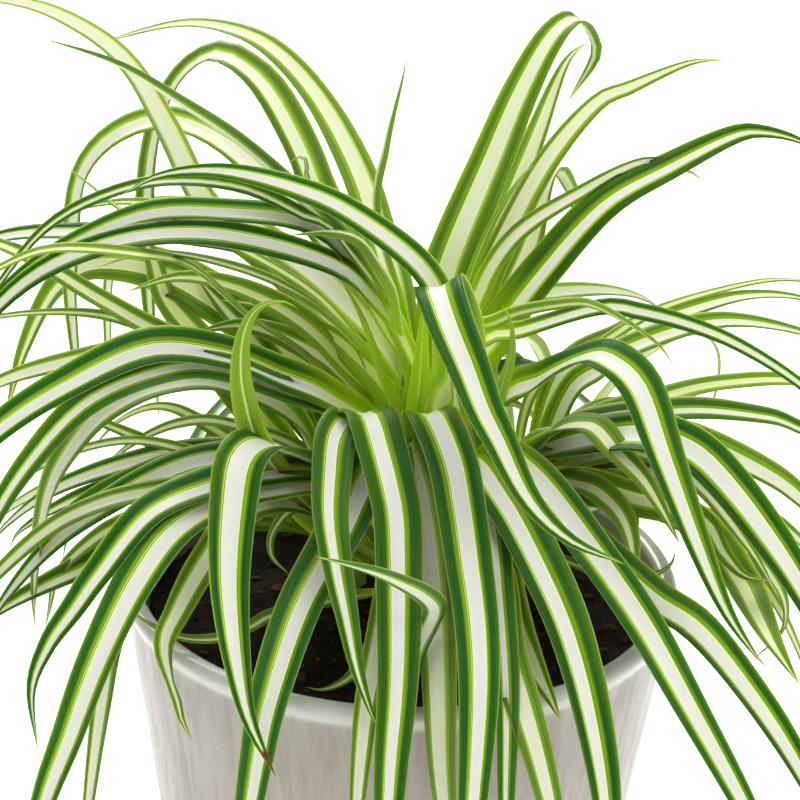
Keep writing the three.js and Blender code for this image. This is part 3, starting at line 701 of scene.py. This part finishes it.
            [480, 480, -10], [500, 455, -18], [535, 480, -30], [590, 550, -52], [642, 625, -72],
            [690, 710, -88], [740, 800, -98], [780, 880, -103], [805, 960, -105],
        ]),
        (19.5, [
            [490, 500, -8], [550, 520, -22], [600, 560, -38], [648, 602, -52], [694, 632, -62],
            [740, 686, -71], [786, 752, -80], [828, 828, -86], [870, 910, -90],
        ]),
        (17, [
            [440, 420, -6], [458, 380, -6], [459, 335, -8], [448, 300, -14], [440, 289, -22],
            [452, 326, -38], [470, 370, -50], [485, 410, -60], [500, 440, -66], [530, 500, -78],
            [570, 540, -86], [627, 565, -92],
        ]),
        (6, [
            [340, 540, -22], [300, 510, -30], [275, 530, -35], [272, 555, -40], [290, 575, -42],
        ], (0, 0), "olive"),
        (6, [
            [395, 620, -25], [370, 650, -45], [350, 678, -58], [325, 690, -64], [305, 687, -66],
        ], (0, 0), "lime"),
        (11, [[416, 425, -4], [420, 360, -2], [424, 295, 2]], (0, 0), "young"),
        (12, [[428, 430, -6], [438, 392, -2], [455, 350, 2]], (0, 0), "young"),
    ],
}
usualLeaf = ((0, 0), "usual")  # the turn and look that a row leaves out

# The other leaves fill the back and the underside of the plant.
fillers = [
    {"crown": "back", "count": 16, "heading": (38, 142), "reach": (95, 152), "crest": (171, 195),
     "drop": (60, 130), "width": (11, 16)},
    {"crown": "left", "count": 6, "heading": (150, 205), "reach": (95, 130), "crest": (165, 190),
     "drop": (25, 55), "width": (11, 15)},
    {"crown": "right", "count": 5, "heading": (-4, 40), "reach": (95, 130), "crest": (168, 190),
     "drop": (50, 90), "width": (11, 15)},
]
fillerLooks = ("usual", "lime", "narrow", "cream", "usual")
fillerArch = {
    "rise": (0.14, 0.45),  # share of the reach, and of the height from the neck to the crest
    "crest": 0.42,  # share of the reach
    "fall": ((0.75, 0.3), (0.95, 0.72), (1, 1)),  # shares of the reach, and of the drop
}

# How a leaf is coloured: half width of its white stripe, how plain lime it is, how pale, and how dry its tip.
looks = {
    "usual": (0.3, 0, 0, 0),
    "narrow": (0.2, 0.1, 0, 0),
    "young": (0.0, 0.95, 0.1, 0),
    "pale": (0.5, 0.2, 0.7, 0),
    "cream": (0.38, 0.3, 0.04, 0),
    "lime": (0.27, 0.6, 0.06, 0),
    "olive": (0.23, 0.45, 0.03, 0),
    "dryTip": (0.3, 0, 0, 1),
    "broad": (0.5, 0.15, 0.3, 0),
    "soft": (0.38, 0.35, 0.1, 0),
}


def onSightLine(point):  # the place, at depth y, that the camera sees at a place on its picture
    across, down, y = point
    v = viewpoint
    ray = Vector(((across - v["middle"]) / v["focal"], 0, (v["middle"] - down) / v["focal"]))
    ray = Matrix.Rotation(-v["roll"], 3, "Y") @ ray
    ray.y = 1
    ray = Matrix.Rotation(-v["pitch"], 3, "X") @ ray
    return v["eye"] + ray * ((y - v["eye"].y) / ray.y)


def fillerPath(crown, group, index):
    heading = math.radians(between(*group["heading"], share(index, steps["heading"])))
    reach = between(*group["reach"], share(index, steps["length"]))
    crest = between(*group["crest"], share(index, steps["lift"]))
    drop = between(*group["drop"], share(index, steps["length"] + steps["lift"]))
    x, y = crown

    def at(along, z):
        return Vector((x + reach * along * math.cos(heading), y + reach * along * math.sin(heading), z))

    along, height = fillerArch["rise"]
    path = [at(along, between(neck["swellTop"], crest, height)), at(fillerArch["crest"], crest)]
    return path + [at(along, crest - fallen * drop) for along, fallen in fillerArch["fall"]]


def smoothPath(points, count):  # even steps along a Catmull-Rom curve, and the curve's length
    ends = [2 * points[0] - points[1], *points, 2 * points[-1] - points[-2]]
    fine = []
    for a, b, c, d in zip(ends, ends[1:], ends[2:], ends[3:]):
        for i in range(blade["pathSteps"]):
            t = i / blade["pathSteps"]
            fine.append(0.5 * (2 * b + (c - a) * t + (2 * a - 5 * b + 4 * c - d) * t * t
                               + (3 * b - a - 3 * c + d) * t ** 3))
    fine.append(points[-1])
    far = [0]
    for a, b in zip(fine, fine[1:]):
        far.append(far[-1] + (b - a).length)
    path, at = [], 0
    for i in range(count + 1):
        goal = far[-1] * i / count
        while at < len(far) - 2 and far[at + 1] < goal:
            at += 1
        path.append(fine[at].lerp(fine[at + 1], (goal - far[at]) / max(far[at + 1] - far[at], 1e-9)))
    return path, far[-1]


def leafRows(points, turn):  # each row's centre, side and up, and the leaf's length
    rows = blade["rows"]
    centres, length = smoothPath(points, rows)
    ahead = centres[round(rows * blade["headingAt"])] - centres[0]
    level = Vector((ahead.y, -ahead.x, 0)).normalized()
    lean = blade["lean"] * level.y
    placed = []
    for i, centre in enumerate(centres):
        tangent = (centres[min(i + 1, rows)] - centres[max(i - 1, 0)]).normalized()
        level = (level - tangent * level.dot(tangent)).normalized()
        roll = Matrix.Rotation(-math.radians(lean + alongSteps(turn, i / rows)), 3, tangent)
        side = roll @ level
        placed.append((centre, side, side.cross(tangent)))
    return placed, length


def bladeOffset(a, v, width, wave, upper):  # how far a point lies beside its row's centre, and above it
    spread = min(1, v / blade["widening"])
    half = 0.5 * width * between(blade["baseShare"], 1, spread) * (1 - v ** blade["taper"])
    fold = math.radians(blade["fold"] + blade["rootFold"] * (1 - spread) + blade["tipFold"] * v)
    soft = blade["roundMiddle"]
    rise = (math.hypot(a, soft) - soft) / (math.hypot(1, soft) - soft)
    ripple = blade["ripple"] * a * abs(a) * math.sin(wave)
    thick = blade["thickness"] * (1 - a ** 4) * min(1, blade["thinning"] * v, blade["thinning"] * (1 - v))
    height = half * math.sin(fold) * rise + ripple * spread * (1 - v) + (0.5 if upper else -0.5) * thick
    return half * math.cos(fold) * a, height


def addLeaf(bm, points, width, turn, look, index, cell):
    rows, columns = blade["rows"], blade["columns"]
    placed, length = leafRows(points, turn)
    phase = share(index, steps["lift"]) * math.tau
    stripe, *others = looks[look]
    stripe *= between(*blade["stripeRange"], share(index, steps["length"]))
    amounts = (stripe, *others, share(index, steps["heading"]))
    made = bmesh.ops.create_grid(bm, x_segments=2 * columns, y_segments=rows, size=0.5, matrix=Matrix())
    places = {}
    for vert in made["verts"]:
        u, v = vert.co.x + 0.5, vert.co.y + 0.5
        places[vert] = (u, v)
        centre, across, up = placed[round(v * rows)]
        a = 4 * u - 1 if u < 0.5 else 3 - 4 * u  # -1 at the left edge, 1 at the right, then back beneath
        wave = math.tau * v * length / blade["rippleLength"] + phase
        sideways, height = bladeOffset(a, v, width, wave, u < 0.5)
        vert.co = centre + across * sideways + up * height
        for name, amount in zip(leafAmounts, amounts):
            vert[bm.verts.layers.float[name]] = amount
    bladeMap, bakeMap = bm.loops.layers.uv["Blade"], bm.loops.layers.uv["OFBake"]
    column, row, wide, high = cell
    insetU, insetV = blade["atlasInset"]
    for face in {f for vert in made["verts"] for f in vert.link_faces}:
        for loop in face.loops:
            u, v = places[loop.vert]
            loop[bladeMap].uv = (u, v)
            loop[bakeMap].uv = ((column + between(insetU, 1 - insetU, u)) / wide,
                                (row + between(insetV, 1 - insetV, v)) / high)
    bmesh.ops.remove_doubles(bm, verts=made["verts"], dist=weld)


def leavesOf(name):  # width, path, turn and look of each leaf of a crown
    leaves = []
    for width, path, *rest in drawnLeaves[name]:
        turn, look = (*rest, *usualLeaf[len(rest):])
        leaves.append((width, [onSightLine(point) for point in path], turn, look))
    for group in fillers:
        if group["crown"] == name:
            for i in range(group["count"]):
                width = between(*group["width"], share(i, steps["lift"]))
                leaves.append((width, fillerPath(crowns[name], group, i), usualLeaf[0],
                               fillerLooks[i % len(fillerLooks)]))
    return leaves


def makeCrown(name, leafMade):
    middle = Vector((*crowns[name], neck["leafStart"]))
    leaves = leavesOf(name)
    bm = bmesh.new()
    for layer in leafAmounts:
        bm.verts.layers.float.new(layer)
    bm.loops.layers.uv.new("Blade")
    bm.loops.layers.uv.new("OFBake")
    high = blade["atlasRows"]
    wide = math.ceil((len(leaves) + 1) / high)
    for i, (width, path, turn, look) in enumerate(leaves):
        ahead = path[2] - middle
        root = middle + Vector((ahead.x, ahead.y, 0)).normalized() * neck["leafRing"]
        addLeaf(bm, [root, *path], width, turn, look, i, (i % wide, i // wide, wide, high))
    finished(bm, "leaves_" + name, leafMade, ["crown_" + name])


def makeNecks(leafMade):
    bm = bmesh.new()
    swell = neck["swellRadius"]
    profile = [(0, neck["bottom"]), (neck["radius"], neck["bottom"]), (neck["radius"], neck["soilTop"])]
    profile += [(swell * part, z) for part, z in neck["swell"]]
    profile.append((swell, neck["swellTop"]))
    profile += [(swell * part, neck["top"] - below) for part, below in neck["crest"]]
    for crown in crowns.values():
        turned(bm, profile, neck["sides"], crown)
    for vert in bm.verts:
        x, y = min(crowns.values(), key=lambda crown: math.dist(crown, vert.co.xy))
        away = Vector((vert.co.x - x, vert.co.y - y, 0))
        if vert.co.z > neck["soilTop"]:
            turn = neck["clasps"] * math.atan2(away.y, away.x) + vert.co.z * neck["claspTwist"]
            vert.co += away * neck["claspDepth"] * math.sin(turn)
    finished(bm, "leaf_bases", leafMade)


leafTints = {
    "margin": (34, 86, 32), "marginDeep": (16, 62, 2),  # the dark green, from one leaf to another
    "vein": (80, 130, 40), "patch": (88, 130, 0),  # lighter lines and patches in it
    "band": (98, 142, 4), "bandLight": (138, 174, 16),  # the lime band beside the stripe
    "pin": (226, 238, 150),  # the thin line in that band
    "lime": (100, 138, 0), "limeLight": (156, 188, 10),
    "stripe": (220, 220, 213), "stripeVein": (196, 201, 178), "stripeLime": (228, 236, 150),
    "stripeEdge": (230, 238, 180),
    "pale": (226, 232, 170), "paleVein": (196, 212, 110),
    "freshAndLit": (180, 214, 10), "freshStripe": (238, 248, 140),  # near the root, and in the plant's heart: the young leaves' own lime, painted brighter as painted light where the crown is in shade
    # edge is a painted rim light: a pale line along both edges of every leaf, as where light comes through
    # from behind
    "under": (170, 192, 120), "edge": (196, 214, 140), "dry": (84, 40, 22),
    "shade": (0, 0, 0), "glow": (128, 160, 10),  # painted glow: light given off by the young leaves in the heart, in place of light that comes through them; shade is black, no glow
}
leafTintAmounts = {
    "vein": 0.25, "patch": 0.3, "pin": 0.75, "lime": 0.85, "stripeVein": 0.25, "pale": 0.75,
    "root": 0.8, "heart": 0.55, "under": 0.15, "edge": 0.5,
}
heart = {"place": (0.006, 0.012, 0.22), "reach": 0.044, "core": 0.01}  # the plant's young middle, in metres, where the leaves get a painted glow and are painted lighter


def leafMaterial():
    tint = {name: colour(value) for name, value in leafTints.items()}
    amount = leafTintAmounts
    # Emission Strength sets how strongly the painted glow in the heart shines.
    made, shader, w = material("striped_leaf", Subsurface_Weight=0.55, Subsurface_Scale=0.0018,
                               Subsurface_Radius=(0.8, 1.0, 0.06), Specular_IOR_Level=0.1,
                               Emission_Strength=0.3)
    place = w.node("ShaderNodeUVMap", {"uv_map": "Blade"})
    u, v = (w.node("ShaderNodeSeparateXYZ", inputs={0: place}, output=i) for i in range(2))
    stripe, lime, pale, dry, tone = (w.node("ShaderNodeAttribute", {"attribute_name": name}, output=2)
                                     for name in leafAmounts)
    under = u.ramp(0.499, 0.501)
    side = 1 - abs(u * 4 - 2)  # -1 at the left edge, 0 at the midrib, 1 at the right edge, on both faces
    edge = abs(side)
    veins = w.node("ShaderNodeCombineXYZ", inputs={0: side * 17 + under * 9, 1: v * 1.3, 2: tone * 50})
    vein = veins.speckle(1, 3, 0.65)
    slow = w.node("ShaderNodeCombineXYZ", inputs={0: side * 0.7, 1: v * 2.2, 2: tone * 90})
    drift = slow.speckle(1, 2)
    shift = w.maths("SINE", tone * 37)  # from leaf to leaf, the pattern lies off to the left or right

    # Where the parts of the pattern lie: off is 0 in the stripe's middle, and 1 half a leaf's width away.
    off = abs(side + shift * 0.1 + (drift - 0.5) * 0.12)
    inner = stripe * v.ramp(1.08, 0.8)
    soft = pale * 0.5
    white = off.ramp(inner + soft + 0.02, inner - soft - 0.02)
    cream = off.ramp(inner + soft + 0.06, inner - soft + 0.035)
    lean = side * shift * 0.11
    band = off.ramp(inner + lean + 0.32, inner + lean + 0.15)
    pin = off.ramp(inner + 0.085, inner + 0.095) * off.ramp(inner + 0.13, inner + 0.12)
    pin = pin * side.ramp(0, 0.01)  # on one half of the leaf only
    fine = vein.ramp(0.34, 0.68)
    patch = drift.ramp(0.45, 0.8)
    spot = w.node("ShaderNodeTexCoord", output=3)
    away = w.node("ShaderNodeVectorMath", {"operation": "DISTANCE"}, {0: spot, 1: heart["place"]}, 1)
    # young is 1 in the plant's heart and 0 away from it: it places the painted glow and the painted
    # lightening there
    young = away.ramp(heart["reach"], heart["core"])
    brown = dry * v.ramp(0.955, 0.965)

    green = tone.blend(tint["margin"], tint["marginDeep"])
    green = (fine * amount["vein"]).blend(green, tint["vein"])
    green = (patch * amount["patch"]).blend(green, tint["patch"])
    green = band.blend(green, fine.blend(tint["band"], tint["bandLight"]))
    green = (pin * amount["pin"]).blend(green, tint["pin"])
    green = (lime * amount["lime"]).blend(green, fine.blend(tint["lime"], tint["limeLight"]))
    middle = (vein.ramp(0.42, 0.7) * amount["stripeVein"]).blend(tint["stripe"], tint["stripeVein"])
    middle = lime.ramp(0.1, 0.9).blend(middle, tint["stripeLime"])
    look = cream.blend(green, tint["stripeEdge"])
    look = white.blend(look, middle)
    look = (pale * amount["pale"]).blend(look, fine.blend(tint["pale"], tint["paleVein"]))
    freshAndLit = white.blend(tint["freshAndLit"], tint["freshStripe"])
    # Near the root and in the heart the leaf takes the young lime, partly its own colour and partly painted
    # light that lifts the crown's shade.
    look = (v.ramp(0.36, 0.06) * amount["root"]).blend(look, freshAndLit)
    look = (young * amount["heart"]).blend(look, freshAndLit)
    look = (under * amount["under"]).blend(look, tint["under"])
    # A painted rim light along both edges of the leaf.
    look = (edge.ramp(0.94, 0.985) * amount["edge"]).blend(look, tint["edge"])
    look = brown.blend(look, tint["dry"])
    feed(shader, "Base Color", look)
    # A painted glow: the leaves in the heart give off light, though they are no lamp.
    feed(shader, "Emission Color", young.blend(tint["shade"], tint["glow"]))
    feed(shader, "Roughness", 0.3 + fine * 0.12 + under * 0.12 + brown * 0.3)
    cells = w.node("ShaderNodeCombineXYZ", inputs={0: u * 150, 1: v * 260, 2: tone * 7})
    relief(shader, vein * 0.8 + cells.speckle(1, 1) * 0.45, 0.5, 0.00035)
    return made


studio = {
    "floorSize": 6, "floorTint": (0.93, 0.93, 0.93, 1), "floorGlow": 0.4,
    "white": (1, 1, 1, 1), "skyStrength": 0.6,
}
lamps = {  # place, what it points at, size and power
    "key": ((0.7, -0.9, 1.7), (0, 0, 0.15), 0.7, 8),
    "front": ((-0.35, -1.7, 0.85), (0, 0, 0.15), 1.0, 4),
    "top": ((0.05, 0.05, 1.7), (0, 0, 0.15), 0.8, 8),
    "back": ((-0.4, 1.4, 1.3), (0, 0, 0.2), 0.9, 22),
}


def makeFloor():
    bm = bmesh.new()
    bmesh.ops.create_grid(bm, x_segments=2, y_segments=2, size=studio["floorSize"], matrix=Matrix())
    made = material("pale_floor", Roughness=0.8, Base_Color=studio["floorTint"],
                    Emission_Color=studio["white"], Emission_Strength=studio["floorGlow"])[0]
    asObject(bm, "floor", made)
    print("floor laid")


def makeLights():
    world = bpy.data.worlds.new("soft_white")
    bpy.context.scene.world = world
    world.use_nodes = True
    sky = world.node_tree.nodes["Background"]
    sky.inputs["Color"].default_value = studio["white"]
    sky.inputs["Strength"].default_value = studio["skyStrength"]
    for name, (place, target, size, power) in lamps.items():
        lamp = bpy.data.lights.new(name, "AREA")
        lamp.shape = "SQUARE"
        lamp.size = size
        lamp.energy = power
        holder = bpy.data.objects.new(name, lamp)
        holder.location = place
        holder.rotation_euler = (Vector(target) - Vector(place)).to_track_quat("-Z", "Y").to_euler()
        bpy.context.scene.collection.objects.link(holder)
    print(len(lamps), "lamps placed")


def makeCamera():
    v = viewpoint
    camera = bpy.data.cameras.new("camera")
    camera.sensor_width = v["sensor"]
    camera.lens = camera.sensor_width * v["focal"] / (2 * v["middle"])
    holder = bpy.data.objects.new("camera", camera)
    bpy.context.scene.collection.objects.link(holder)
    turn = Matrix.Rotation(-v["pitch"], 4, "X") @ Matrix.Rotation(-v["roll"], 4, "Y")
    level = Matrix.Rotation(math.radians(90), 4, "X")
    holder.matrix_world = Matrix.Translation(v["eye"] * mm) @ turn @ level
    bpy.context.scene.camera = holder
    print("camera placed")


bpy.context.scene.view_settings.view_transform = "Standard"
makeCamera()
makeLights()
makeFloor()
makePot()
makeSoil()
makeBark()
leafMade = leafMaterial()
for crownName in crowns:
    makeCrown(crownName, leafMade)
makeNecks(leafMade)
